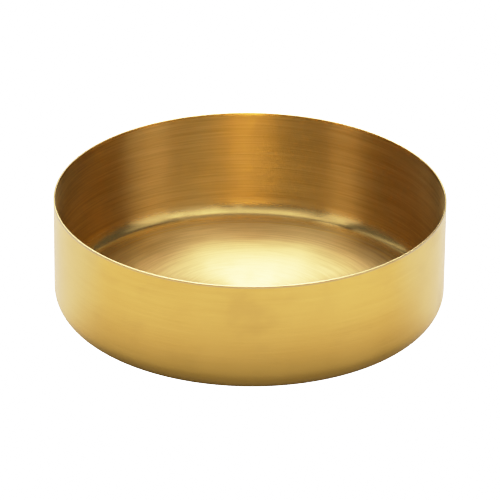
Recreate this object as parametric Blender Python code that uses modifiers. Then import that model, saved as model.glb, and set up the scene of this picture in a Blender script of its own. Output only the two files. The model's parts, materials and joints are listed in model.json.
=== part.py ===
"""A round, straight-walled brass dish, drawn from one disc of sheet.

Metres, +Z up. The origin is the centre of the flat underside. One piece: a flat floor, a
rounded corner all round, an upright wall, and a cut rim with its edges rounded over.
"""
import bpy
from math import cos, pi, sin

# Driving dimensions.
DIAMETER = 0.120        # across the outside of the wall
HEIGHT = 0.036          # underside to the top of the rim
SHEET = 0.0006          # thickness of the brass sheet, the same all over
CORNER_RADIUS = 0.0065  # outside radius where the floor turns up into the wall

# How finely the round stretches are cut.
STEPS_ROUND = 96        # round the axis
STEPS_CORNER = 9        # along each quarter arc of the corner
STEPS_RIM = 4           # along the half arc over the rim

MERGE_DISTANCE = 0.00001

COLLECTION_NAME = "brass_dish"
BRASS_COLOUR = (0.72, 0.47, 0.14, 1.0)
BRASS_ROUGHNESS = 0.32


def clear_scene():
    """Remove whatever objects the open file holds."""
    for item in list(bpy.data.objects):
        bpy.data.objects.remove(item, do_unlink=True)


def make_collection(name):
    """A new collection in the scene for the dish."""
    collection = bpy.data.collections.new(name)
    bpy.context.scene.collection.children.link(collection)
    return collection


def brass_material():
    """Brushed brass with a satin gloss."""
    material = bpy.data.materials.new("brushed_brass")
    material.use_nodes = True
    shader = material.node_tree.nodes["Principled BSDF"]
    shader.inputs["Base Color"].default_value = BRASS_COLOUR
    shader.inputs["Metallic"].default_value = 1.0
    shader.inputs["Roughness"].default_value = BRASS_ROUGHNESS
    material.diffuse_color = BRASS_COLOUR
    return material


def arc(centre_x, centre_z, radius, start, end, steps):
    """Points (x, z) along an arc, from the start angle to the end angle, both included."""
    points = []
    for i in range(steps + 1):
        angle = start + (end - start) * i / steps
        points.append((centre_x + radius * cos(angle), centre_z + radius * sin(angle)))
    return points


def dish_profile():
    """Half section (x, z): out along the floor, up the inside, over the rim, down the outside."""
    outer_radius = DIAMETER / 2
    corner_x = outer_radius - CORNER_RADIUS
    rim_radius = SHEET / 2
    inner_corner = arc(corner_x, CORNER_RADIUS, CORNER_RADIUS - SHEET, -pi / 2, 0, STEPS_CORNER)
    rim = arc(outer_radius - rim_radius, HEIGHT - rim_radius, rim_radius, pi, 0, STEPS_RIM)
    outer_corner = arc(corner_x, CORNER_RADIUS, CORNER_RADIUS, 0, -pi / 2, STEPS_CORNER)
    return [(0, SHEET)] + inner_corner + rim + outer_corner + [(0, 0)]


def turned_object(name, profile, material, collection):
    """An object turned round the Z axis from a half section, smooth-shaded."""
    vertices = [(x, 0, z) for x, z in profile]
    edges = [(i, i + 1) for i in range(len(profile) - 1)]
    mesh = bpy.data.meshes.new(name)
    mesh.from_pydata(vertices, edges, [])
    mesh.materials.append(material)
    item = bpy.data.objects.new(name, mesh)
    collection.objects.link(item)
    screw = item.modifiers.new("turn", "SCREW")
    screw.axis = "Z"
    screw.angle = 2 * pi
    screw.steps = STEPS_ROUND
    screw.render_steps = STEPS_ROUND
    screw.use_merge_vertices = True
    screw.merge_threshold = MERGE_DISTANCE
    screw.use_smooth_shade = True
    return item


def main():
    clear_scene()
    collection = make_collection(COLLECTION_NAME)
    turned_object("dish", dish_profile(), brass_material(), collection)


main()
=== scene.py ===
"""Looks of a round brushed-brass dish: one drawn shell, on a pale floor in soft light."""
import json
from math import cos, exp, hypot, pi, radians, sin, tan

import bmesh
import bpy
from mathutils import Matrix, Vector


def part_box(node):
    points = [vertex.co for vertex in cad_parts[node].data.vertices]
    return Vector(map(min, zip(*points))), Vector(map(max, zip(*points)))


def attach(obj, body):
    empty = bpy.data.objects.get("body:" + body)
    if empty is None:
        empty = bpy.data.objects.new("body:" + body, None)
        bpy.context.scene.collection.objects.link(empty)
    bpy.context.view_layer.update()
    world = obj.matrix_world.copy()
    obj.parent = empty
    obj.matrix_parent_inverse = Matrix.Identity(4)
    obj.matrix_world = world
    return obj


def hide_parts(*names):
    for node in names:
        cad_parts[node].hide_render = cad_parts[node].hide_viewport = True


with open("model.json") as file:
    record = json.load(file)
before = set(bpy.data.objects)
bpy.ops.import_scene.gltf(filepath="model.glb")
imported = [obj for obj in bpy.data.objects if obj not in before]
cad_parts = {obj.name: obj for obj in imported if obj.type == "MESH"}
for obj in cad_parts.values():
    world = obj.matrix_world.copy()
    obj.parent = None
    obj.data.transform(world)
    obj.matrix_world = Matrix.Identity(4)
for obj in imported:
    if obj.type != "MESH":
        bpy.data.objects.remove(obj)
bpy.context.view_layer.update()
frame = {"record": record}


# ---------------------------------------------------------------- sizes, from the frame

BOX_LOW, BOX_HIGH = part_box("dish")
RADIUS = (BOX_HIGH.x - BOX_LOW.x) / 2
HEIGHT = BOX_HIGH.z
SHEET = next(m["pos_m"][2] for m in frame["record"]["mounts"] if m["name"] == "inner_floor")
CORNER_RADIUS = 0.0065      # outside radius between the floor and the wall
RIM_EDGE_RADIUS = 0.00018   # the cut edge is rounded over
RIM_SHADE_LINE = 0.00045         # height of the painted shade line just under the rim, outside
SHADE_LINE_EDGE = 0.00015        # height over which that line ends

SEGMENTS = 384              # round the axis
CORNER_STEPS = 24           # along each quarter arc of the corner
RIM_STEPS = 5               # along each quarter arc of the rim
FLOOR_RINGS = 48            # from the middle to the corner, inside and underneath
WALL_RINGS = 32             # up each side of the wall

# Finish. In the inside corner the floor's roughness turns step by step into the corner's, and that into the
# wall's from step CORNER_FADE on. Sheen and shade are painted into the colour: 1 is full painted sheen, 0
# none, -1 full painted shade.
ROUGH_FLOOR = 0.40
ROUGH_CORNER = 0.13         # the brush reaches least into the inside corner
ROUGH_INSIDE = 0.36
ROUGH_RIM = 0.13            # burnished by handling
ROUGH_OUTSIDE = 0.21
ROUGH_UNDER = 0.38
CORNER_FADE = 9
CORNER_SHADE_STEPS = 10            # steps from the floor over which the inside corner is painted darker, most at the floor: painted shade
SHADE_CORNER = -0.4
SHEEN_FLOOR = 0.3            # the floor and the rim are painted a little paler than the wall: painted sheen that lightens their highlights
SHEEN_RIM = 0.3
# the line just under the rim is full painted shade
SHADE_UNDER_RIM = -1.0


# ---------------------------------------------------------------- the dish's mesh

def arc(centre_r, centre_z, radius, start, end, steps):
    """Points (r, z) along an arc, both ends included."""
    points = []
    for i in range(steps + 1):
        angle = start + (end - start) * i / steps
        points.append((centre_r + radius * cos(angle), centre_z + radius * sin(angle)))
    return points


def line(start, end, steps):
    """Points (r, z) between two ends, both left out."""
    points = []
    for i in range(1, steps):
        t = i / steps
        points.append((start[0] + (end[0] - start[0]) * t, start[1] + (end[1] - start[1]) * t))
    return points


def dish_profile():
    """Half section from the middle of the inner floor, over the rim, to the middle of the underside.
    Each point is r, z, the roughness there and the painted sheen there, which below zero is painted shade."""
    corner_r = RADIUS - CORNER_RADIUS
    wall_r = RADIUS - SHEET
    rim_z = HEIGHT - RIM_EDGE_RADIUS
    bend = CORNER_RADIUS - SHEET
    inner_corner = arc(corner_r, CORNER_RADIUS, bend, -pi / 2, 0, CORNER_STEPS)
    rim_inside = arc(wall_r + RIM_EDGE_RADIUS, rim_z, RIM_EDGE_RADIUS, pi, pi / 2, RIM_STEPS)
    rim_outside = arc(RADIUS - RIM_EDGE_RADIUS, rim_z, RIM_EDGE_RADIUS, pi / 2, 0, RIM_STEPS)
    outer_corner = arc(corner_r, CORNER_RADIUS, CORNER_RADIUS, 0, -pi / 2, CORNER_STEPS)
    below_shade_line = (RADIUS, rim_z - RIM_SHADE_LINE - SHADE_LINE_EDGE)
    corner_stretches = []
    for i, point in enumerate(inner_corner):
        if i < CORNER_FADE:
            rough = ROUGH_FLOOR + (ROUGH_CORNER - ROUGH_FLOOR) * i / CORNER_FADE
        else:
            fade = (i - CORNER_FADE) / (CORNER_STEPS - CORNER_FADE)
            rough = ROUGH_CORNER + (ROUGH_INSIDE - ROUGH_CORNER) * fade
        # the inside corner is painted darker towards the floor: painted shade
        corner_stretches.append(([point], rough, SHADE_CORNER * max(0, 1 - i / CORNER_SHADE_STEPS)))
    stretches = (
        # the floor is painted a little paler: painted sheen
        ([(0.0, SHEET)] + line((0.0, SHEET), inner_corner[0], FLOOR_RINGS), ROUGH_FLOOR, SHEEN_FLOOR),
        *corner_stretches,
        (line(inner_corner[-1], rim_inside[0], WALL_RINGS), ROUGH_INSIDE, 0.0),
        # the rim is painted a little paler: painted sheen
        (rim_inside, ROUGH_RIM, SHEEN_RIM),
        (rim_outside[:-RIM_STEPS // 2], ROUGH_RIM, SHEEN_RIM),
        # painted shade line just under the rim, outside
        (rim_outside[-RIM_STEPS // 2:] + [(RADIUS, rim_z - RIM_SHADE_LINE)], ROUGH_OUTSIDE, SHADE_UNDER_RIM),
        ([below_shade_line] + line(below_shade_line, outer_corner[0], WALL_RINGS), ROUGH_OUTSIDE, 0.0),
        (outer_corner, ROUGH_OUTSIDE, 0.0),
        (line(outer_corner[-1], (0.0, 0.0), FLOOR_RINGS) + [(0.0, 0.0)], ROUGH_UNDER, 0.0),
    )
    return [(r, z, rough, sheen_and_shade) for points, rough, sheen_and_shade in stretches for r, z in points]


def lathe(name, profile):
    """A closed mesh turned round Z from a half section that starts and ends on the axis.
    Its point attributes are "across", the distance along the section, "rough", and a third that holds
    painted sheen above zero and painted shade below. Its UV map runs round the axis and along the section,
    the way the metal is brushed."""
    mesh = bmesh.new()
    across_layer = mesh.verts.layers.float.new("across")
    rough_layer = mesh.verts.layers.float.new("rough")
    sheen_and_shade_layer = mesh.verts.layers.float.new("sheen_and_shade")
    flat_layer = mesh.loops.layers.uv.new("OFBake")
    rings = []
    across = 0.0
    for k, (r, z, rough, sheen_and_shade) in enumerate(profile):
        if k:
            across += hypot(r - profile[k - 1][0], z - profile[k - 1][1])
        ring = []
        for i in range(SEGMENTS if r else 1):
            angle = 2 * pi * i / SEGMENTS
            vertex = mesh.verts.new((r * cos(angle), r * sin(angle), z))
            vertex[across_layer] = across
            vertex[rough_layer] = rough
            vertex[sheen_and_shade_layer] = sheen_and_shade
            ring.append(vertex)
        rings.append(ring)
    for a, b in zip(rings, rings[1:]):
        for i in range(SEGMENTS):
            j = (i + 1) % SEGMENTS
            if len(a) == 1:
                corners, turns = (a[0], b[i], b[j]), (i + 0.5, i, i + 1)
            elif len(b) == 1:
                corners, turns = (a[i], b[0], a[j]), (i, i + 0.5, i + 1)
            else:
                corners, turns = (a[i], b[i], b[j], a[j]), (i, i, i + 1, i + 1)
            for loop, turn in zip(mesh.faces.new(corners).loops, turns):
                loop[flat_layer].uv = (turn / SEGMENTS, loop.vert[across_layer] / across)
    data = bpy.data.meshes.new(name)
    mesh.to_mesh(data)
    mesh.free()
    data.shade_smooth()
    item = bpy.data.objects.new(name, data)
    bpy.context.scene.collection.objects.link(item)
    return item


# ---------------------------------------------------------------- material

class Nodes:
    """Short calls that add shader nodes to one material or world and return their output sockets."""

    def __init__(self, owner):
        self.tree = owner.node_tree

    def add(self, kind, inputs=(), **settings):
        node = self.tree.nodes.new(kind)
        for name, value in settings.items():
            setattr(node, name, value)
        for key, value in dict(inputs).items():
            self.feed(value, node.inputs[key])
        return node

    def feed(self, value, socket):
        if isinstance(value, bpy.types.NodeSocket):
            self.tree.links.new(value, socket)
        else:
            socket.default_value = value

    def math(self, operation, *values):
        return self.add("ShaderNodeMath", enumerate(values), operation=operation).outputs[0]

    def vector(self, x, y, z):
        return self.add("ShaderNodeCombineXYZ", enumerate((x, y, z))).outputs[0]

    def noise(self, vector, detail=2.0, roughness=0.5):
        inputs = {"Vector": vector, "Scale": 1.0, "Detail": detail, "Roughness": roughness}
        return self.add("ShaderNodeTexNoise", inputs).outputs["Fac"]

    def ramp(self, value, low, high, to_low=0.0, to_high=1.0):
        """Value from low..high to to_low..to_high, smoothly and clamped."""
        inputs = enumerate((value, low, high, to_low, to_high))
        return self.add("ShaderNodeMapRange", inputs, interpolation_type="SMOOTHSTEP").outputs[0]

    def mix(self, factor, a, b):
        node = self.add("ShaderNodeMix", data_type="RGBA")
        self.feed(factor, node.inputs[0])
        self.feed(a, node.inputs[6])
        self.feed(b, node.inputs[7])
        return node.outputs[2]


BRASS = (0.93, 0.65, 0.225, 1)
BRASS_DEEP = (0.66, 0.42, 0.11, 1)      # in the deeper brush lines
BRASS_PAINTED_SHEEN = (0.95, 0.79, 0.47, 1)      # at full painted sheen: paler colour that lightens the highlights on the floor and the rim
BRASS_PAINTED_SHADE = (0.68, 0.50, 0.27, 1)      # painted shade: the line just under the rim and the inside corner at the floor
# Brush lines, coarse to fine: length, pitch and height in metres, share of the colour, share of the drift.
STREAKS = (
    (0.030, 0.00065, 0.000004, 0.34, 1.0),
    (0.018, 0.00045, 0.000001, 0.30, -1.0),
    (0.026, 0.00022, 0.0000002, 0.20, 0.4),
)
STREAKS_OUTSIDE = 0.25                  # how much of them is left on the smoother outside
STREAKS_FLOOR = 2.2                     # and how much stronger they are on the inside floor
STREAK_DRIFT = 0.0011                   # how far the lines wander off the true circle
STREAK_TONE = 0.16                      # the shade at which a line is as deep, or as light, as lines get
STREAK_DEEPEST = 0.75                   # share of the deep colour in the deepest
STREAKS_ROUGH = 0.16                    # how much the shade of the lines shifts the roughness
# Grain of the slow patterns: how many of their features lie along a radian, and their width in metres.
DRIFT_GRAIN = (1.6, 0.02)
PATCH_GRAIN = (1.3, 0.03)
SMUDGE_GRAIN = (3.5, 0.012)
PATCHES = 0.25                          # how much the patches shift the shade
PATCHES_ROUGH = 0.06                    # and the roughness
SMUDGE_STARTS = 0.5                     # levels of their noise between which smudges fade in
SMUDGE_WHOLE = 0.72
SMUDGES_ROUGH = 0.05                    # how much rougher a smudge is
MIDDLE = 0.0005                         # the pattern stops turning this near the axis
MILLIMETRE = 0.001                      # the bump's unit


def brass_material():
    material = bpy.data.materials.new("brushed_brass")
    material.use_nodes = True
    n = Nodes(material)
    shader = material.node_tree.nodes["Principled BSDF"]
    place = n.add("ShaderNodeSeparateXYZ", {0: n.add("ShaderNodeTexCoord").outputs["Object"]})
    x, y = place.outputs["X"], place.outputs["Y"]
    r = n.math("SQRT", n.math("ADD", n.math("MULTIPLY", x, x), n.math("MULTIPLY", y, y)))
    safe_r = n.math("MAXIMUM", r, MIDDLE)
    around_x = n.math("DIVIDE", x, safe_r)
    around_y = n.math("DIVIDE", y, safe_r)
    across = n.add("ShaderNodeAttribute", attribute_name="across").outputs["Fac"]
    finish = n.add("ShaderNodeAttribute", attribute_name="rough").outputs["Fac"]
    sheen_and_shade = n.add("ShaderNodeAttribute", attribute_name="sheen_and_shade").outputs["Fac"]

    def around(turns, step, shift=0.0):
        """A place on the shell: features are 1/turns of a radian long and step metres wide."""
        wide = n.math("DIVIDE", n.math("ADD", across, shift), step)
        return n.vector(n.math("MULTIPLY", around_x, turns), n.math("MULTIPLY", around_y, turns), wide)

    def centred(noise, scale):
        """A noise from 0..1 turned into one of that scale, positive and negative."""
        return n.math("MULTIPLY", n.math("SUBTRACT", noise, 0.5), scale)

    drift = centred(n.noise(around(*DRIFT_GRAIN), 1.0), 2 * STREAK_DRIFT)
    height, shade = 0.0, 0.0
    for length, pitch, depth, share, drift_share in STREAKS:
        wander = n.math("MULTIPLY", drift, drift_share)
        stroke = n.noise(around(RADIUS / length, pitch, wander), 2.0, 0.55)
        height = n.math("ADD", height, centred(stroke, depth / MILLIMETRE))
        shade = n.math("ADD", shade, centred(stroke, share))

    shade = n.math("MULTIPLY", shade, n.ramp(finish, ROUGH_OUTSIDE, ROUGH_INSIDE, STREAKS_OUTSIDE, 1))
    shade = n.math("MULTIPLY", shade, n.ramp(finish, ROUGH_INSIDE, ROUGH_FLOOR, 1, STREAKS_FLOOR))
    patches = n.noise(around(*PATCH_GRAIN), 2.0, 0.6)
    smudges = n.ramp(n.noise(around(*SMUDGE_GRAIN), 3.0, 0.6), SMUDGE_STARTS, SMUDGE_WHOLE)

    tone = n.math("ADD", shade, centred(patches, PATCHES))
    deep = n.ramp(tone, -STREAK_TONE, STREAK_TONE, STREAK_DEEPEST, 0.0)
    # painted sheen makes the floor and the rim paler, painted shade darkens the inside corner and the line
    # just under the rim
    colour = n.mix(n.ramp(sheen_and_shade, 0, 1), n.mix(deep, BRASS, BRASS_DEEP), BRASS_PAINTED_SHEEN)
    colour = n.mix(n.ramp(sheen_and_shade, 0, -1), colour, BRASS_PAINTED_SHADE)
    n.feed(colour, shader.inputs["Base Color"])

    rough = n.math("MULTIPLY_ADD", shade, STREAKS_ROUGH, finish)
    rough = n.math("MULTIPLY_ADD", smudges, SMUDGES_ROUGH, rough)
    rough = n.math("ADD", rough, centred(patches, PATCHES_ROUGH))
    n.feed(rough, shader.inputs["Roughness"])

    bump = n.add("ShaderNodeBump", {"Strength": 1.0, "Distance": MILLIMETRE, "Height": height})
    n.feed(bump.outputs[0], shader.inputs["Normal"])
    tangent = n.add("ShaderNodeTangent", direction_type="RADIAL", axis="Z")
    n.feed(tangent.outputs[0], shader.inputs["Tangent"])
    shader.inputs["Metallic"].default_value = 1.0
    shader.inputs["Anisotropic"].default_value = 1.0
    shader.inputs["Anisotropic Rotation"].default_value = 0.25
    shader.inputs["Coat Weight"].default_value = 0.2
    shader.inputs["Coat Roughness"].default_value = 0.3
    return material


# ---------------------------------------------------------------- stage, light and camera

FLOOR_SIZE = 8.0
FLOOR_COLOUR = (0.46, 0.41, 0.30, 1)
FLOOR_ROUGH = 0.8
# The brass mirrors a floor that glows: in front more with the distance from the dish, behind evenly. Near
# the dish the glow is weaker and warmer: painted shadow of the dish and painted golden light bounced off it.
GLOW_BESIDE = (1.0, 0.80, 0.32, 1)
GLOW_FRONT = (1.0, 0.87, 0.55, 1)
GLOW_BACK = (1.0, 1.08, 1.3, 1)
GLOW_NEAR = 0.046                   # the front glows from this distance from the dish's axis
GLOW_FAR = 0.115                    # and in full from this one
GLOW_AT_FRONT = 0.57
GLOW_AT_BACK = 0.47
BACK_STARTS = -0.8 * RADIUS         # Y from which the front's glow turns into the back's
BACK_WHOLE = -0.1 * RADIUS
FLOOR_SEEN = 0.92                   # share of plain white in what the camera sees of the floor
WORLD_LIGHT = 0.006                 # even light from all round, which fills the darkest places

SHOULDER = 0.5                      # the picture's tones are straight up to here, then ease towards white
WHITE = 4.0                         # brightness that comes out as plain white
TONE_STEPS = 40

CAMERA_ELEVATION = 26.99            # degrees
CAMERA_ROLL = 0.592
CAMERA_DISTANCE = 23.0 * RADIUS     # from the point it looks at
CAMERA_AIM = Vector((0.0022, 0, 0.293)) * RADIUS
CAMERA_LENS = 323.8                 # millimetres, on a sensor 36 wide
CAMERA_SENSOR = 36

BOX_DISTANCE = 2.0
# Azimuth 0 is on the camera's side, 90 on its right, 180 behind the dish. All angles are in degrees.
# Upright soft boxes: name, left and right azimuth, low and high elevation, radiance.
UPRIGHT_BOXES = (
    ("right", 50, 79, 6, 56, 0.92),
    ("front_right", 20, 50, 30, 66, 1.0),
    ("front", -50, 20, 48, 66, 0.94),
    ("front_low", 0, 20, 22, 48, 0.14),
    ("front_slit", 5, 10, 20, 48, 0.4),
    ("front_left", -50, 0, 26, 48, 0.18),
    ("left", -72, -50, 18, 48, 0.95),
    ("right_high", 76, 100, 42, 60, 0.45),
    ("right_dim", 79, 130, 15, 60, 0.10),
    ("left_dim", -130, -72, 15, 60, 0.12),
    ("back_core", 166, 198, 44, 62, 6.4),
    ("back_middle", 154, 218, 40, 64, 5.6),
    ("back_wide", 130, 232, 34, 66, 0.65),
    ("back_low", 150, 210, 26.5, 34, 0.8),
    ("back_core_low", 176, 201, 27, 44, 2.4),
    ("back_left_low", 192, 216, 0, 26, 0.45),
    ("back_right_low", 144, 168, 0, 26, 0.5),
)
# Soft boxes tilted to face the dish: name, azimuth, elevation, width and height as seen from it, radiance.
TILTED_BOXES = (
    ("back_high", 189, 70, 38, 14, 2.8),
    ("front_high", -8, 73, 76, 14, 1.1),
    ("ceiling", 0, 88, 60, 20, 0.3),
    ("left_strip", -115, 43, 5, 32, 0.8),
)


def make_floor():
    bpy.ops.mesh.primitive_plane_add(size=FLOOR_SIZE, location=(0, 0, 0))
    floor = bpy.context.object
    floor.name = "floor"
    material = bpy.data.materials.new("pale_floor")
    material.use_nodes = True
    n = Nodes(material)
    shader = material.node_tree.nodes["Principled BSDF"]
    shader.inputs["Base Color"].default_value = FLOOR_COLOUR
    shader.inputs["Roughness"].default_value = FLOOR_ROUGH
    place = n.add("ShaderNodeTexCoord").outputs["Object"]
    far = n.add("ShaderNodeVectorMath", {0: place}, operation="LENGTH").outputs["Value"]
    behind = n.ramp(n.add("ShaderNodeSeparateXYZ", {0: place}).outputs["Y"], BACK_STARTS, BACK_WHOLE)
    # painted shadow and bounce light: near the dish the glow is weaker and warmer
    colour = n.mix(behind, n.mix(n.ramp(far, GLOW_NEAR, GLOW_FAR), GLOW_BESIDE, GLOW_FRONT), GLOW_BACK)
    n.feed(colour, shader.inputs["Emission Color"])
    in_front = n.ramp(far, GLOW_NEAR, GLOW_FAR, 0, GLOW_AT_FRONT)
    strength = n.add("ShaderNodeMapRange", enumerate((behind, 0, 1, in_front, GLOW_AT_BACK))).outputs[0]
    n.feed(strength, shader.inputs["Emission Strength"])
    white = n.add("ShaderNodeEmission", {"Color": (1, 1, 1, 1), "Strength": WHITE}).outputs[0]
    seen = n.math("MULTIPLY", n.add("ShaderNodeLightPath").outputs["Is Camera Ray"], FLOOR_SEEN)
    look = n.add("ShaderNodeMixShader", {0: seen, 1: shader.outputs[0], 2: white})
    n.feed(look.outputs[0], material.node_tree.nodes["Material Output"].inputs["Surface"])
    floor.data.materials.append(material)


def make_world():
    """A plain backdrop: white where the camera looks past the floor, and almost no light by itself."""
    world = bpy.data.worlds.new("studio")
    world.use_nodes = True
    n = Nodes(world)
    background = world.node_tree.nodes["Background"]
    background.inputs["Color"].default_value = (1, 1, 1, 1)
    seen = n.add("ShaderNodeLightPath").outputs["Is Camera Ray"]
    n.feed(n.math("MULTIPLY_ADD", seen, WHITE, WORLD_LIGHT), background.inputs["Strength"])
    bpy.context.scene.world = world


def soft_box(name, place, towards, width, height, radiance):
    """A rectangular light at a place, turned so that it shines along -towards."""
    light = bpy.data.lights.new(name, "AREA")
    light.shape = "RECTANGLE"
    light.size = width
    light.size_y = height
    light.energy = radiance * pi * width * height
    item = bpy.data.objects.new(name, light)
    bpy.context.scene.collection.objects.link(item)
    item.location = place
    item.rotation_euler = towards.to_track_quat("Z", "Y").to_euler()
    item.visible_camera = False


def upright_box(name, left, right, low, high, radiance):
    a = radians((left + right) / 2)
    towards = Vector((sin(a), -cos(a), 0))
    bottom, top = (BOX_DISTANCE * tan(radians(e)) for e in (low, high))
    place = BOX_DISTANCE * towards + Vector((0, 0, HEIGHT / 2 + (bottom + top) / 2))
    soft_box(name, place, towards, 2 * BOX_DISTANCE * tan(radians(right - left) / 2), top - bottom, radiance)


def tilted_box(name, azimuth, elevation, wide, tall, radiance):
    a, e = radians(azimuth), radians(elevation)
    towards = Vector((sin(a) * cos(e), -cos(a) * cos(e), sin(e)))
    width, height = (2 * BOX_DISTANCE * tan(radians(angle) / 2) for angle in (wide, tall))
    soft_box(name, BOX_DISTANCE * towards + Vector((0, 0, HEIGHT / 2)), towards, width, height, radiance)


def make_camera():
    elevation = radians(CAMERA_ELEVATION)
    data = bpy.data.cameras.new("camera")
    data.sensor_width = CAMERA_SENSOR
    data.lens = CAMERA_LENS
    camera = bpy.data.objects.new("camera", data)
    bpy.context.scene.collection.objects.link(camera)
    direction = Vector((0, -cos(elevation), sin(elevation)))
    turn = direction.to_track_quat("Z", "Y").to_matrix().to_4x4()
    roll = Matrix.Rotation(radians(CAMERA_ROLL), 4, "Z")
    camera.matrix_world = Matrix.Translation(CAMERA_AIM + CAMERA_DISTANCE * direction) @ turn @ roll
    bpy.context.scene.camera = camera


def set_tones():
    """Soft highlights, as a photograph has."""
    view = bpy.context.scene.view_settings
    view.view_transform = "Standard"
    view.use_curve_mapping = True
    tones = view.curve_mapping
    tones.white_level = (WHITE, WHITE, WHITE)
    tones.extend = "HORIZONTAL"
    room = 1 - SHOULDER
    top = SHOULDER + room * (1 - exp(-(WHITE - SHOULDER) / room))
    points = tones.curves[3].points
    points[0].location = (0, 0)
    points[1].location = (1, 1)
    for i in range(1, TONE_STEPS):
        brightness = WHITE * (i / TONE_STEPS) ** 2
        tone = brightness
        if brightness > SHOULDER:
            tone = SHOULDER + room * (1 - exp(-(brightness - SHOULDER) / room))
        points.new(brightness / WHITE, tone / top)
    tones.update()


def main():
    dish = lathe("dish_shell", dish_profile())
    dish.data.materials.append(brass_material())
    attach(dish, "root")
    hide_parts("dish")
    make_floor()
    make_world()
    for box in UPRIGHT_BOXES:
        upright_box(*box)
    for box in TILTED_BOXES:
        tilted_box(*box)
    make_camera()
    set_tones()


main()
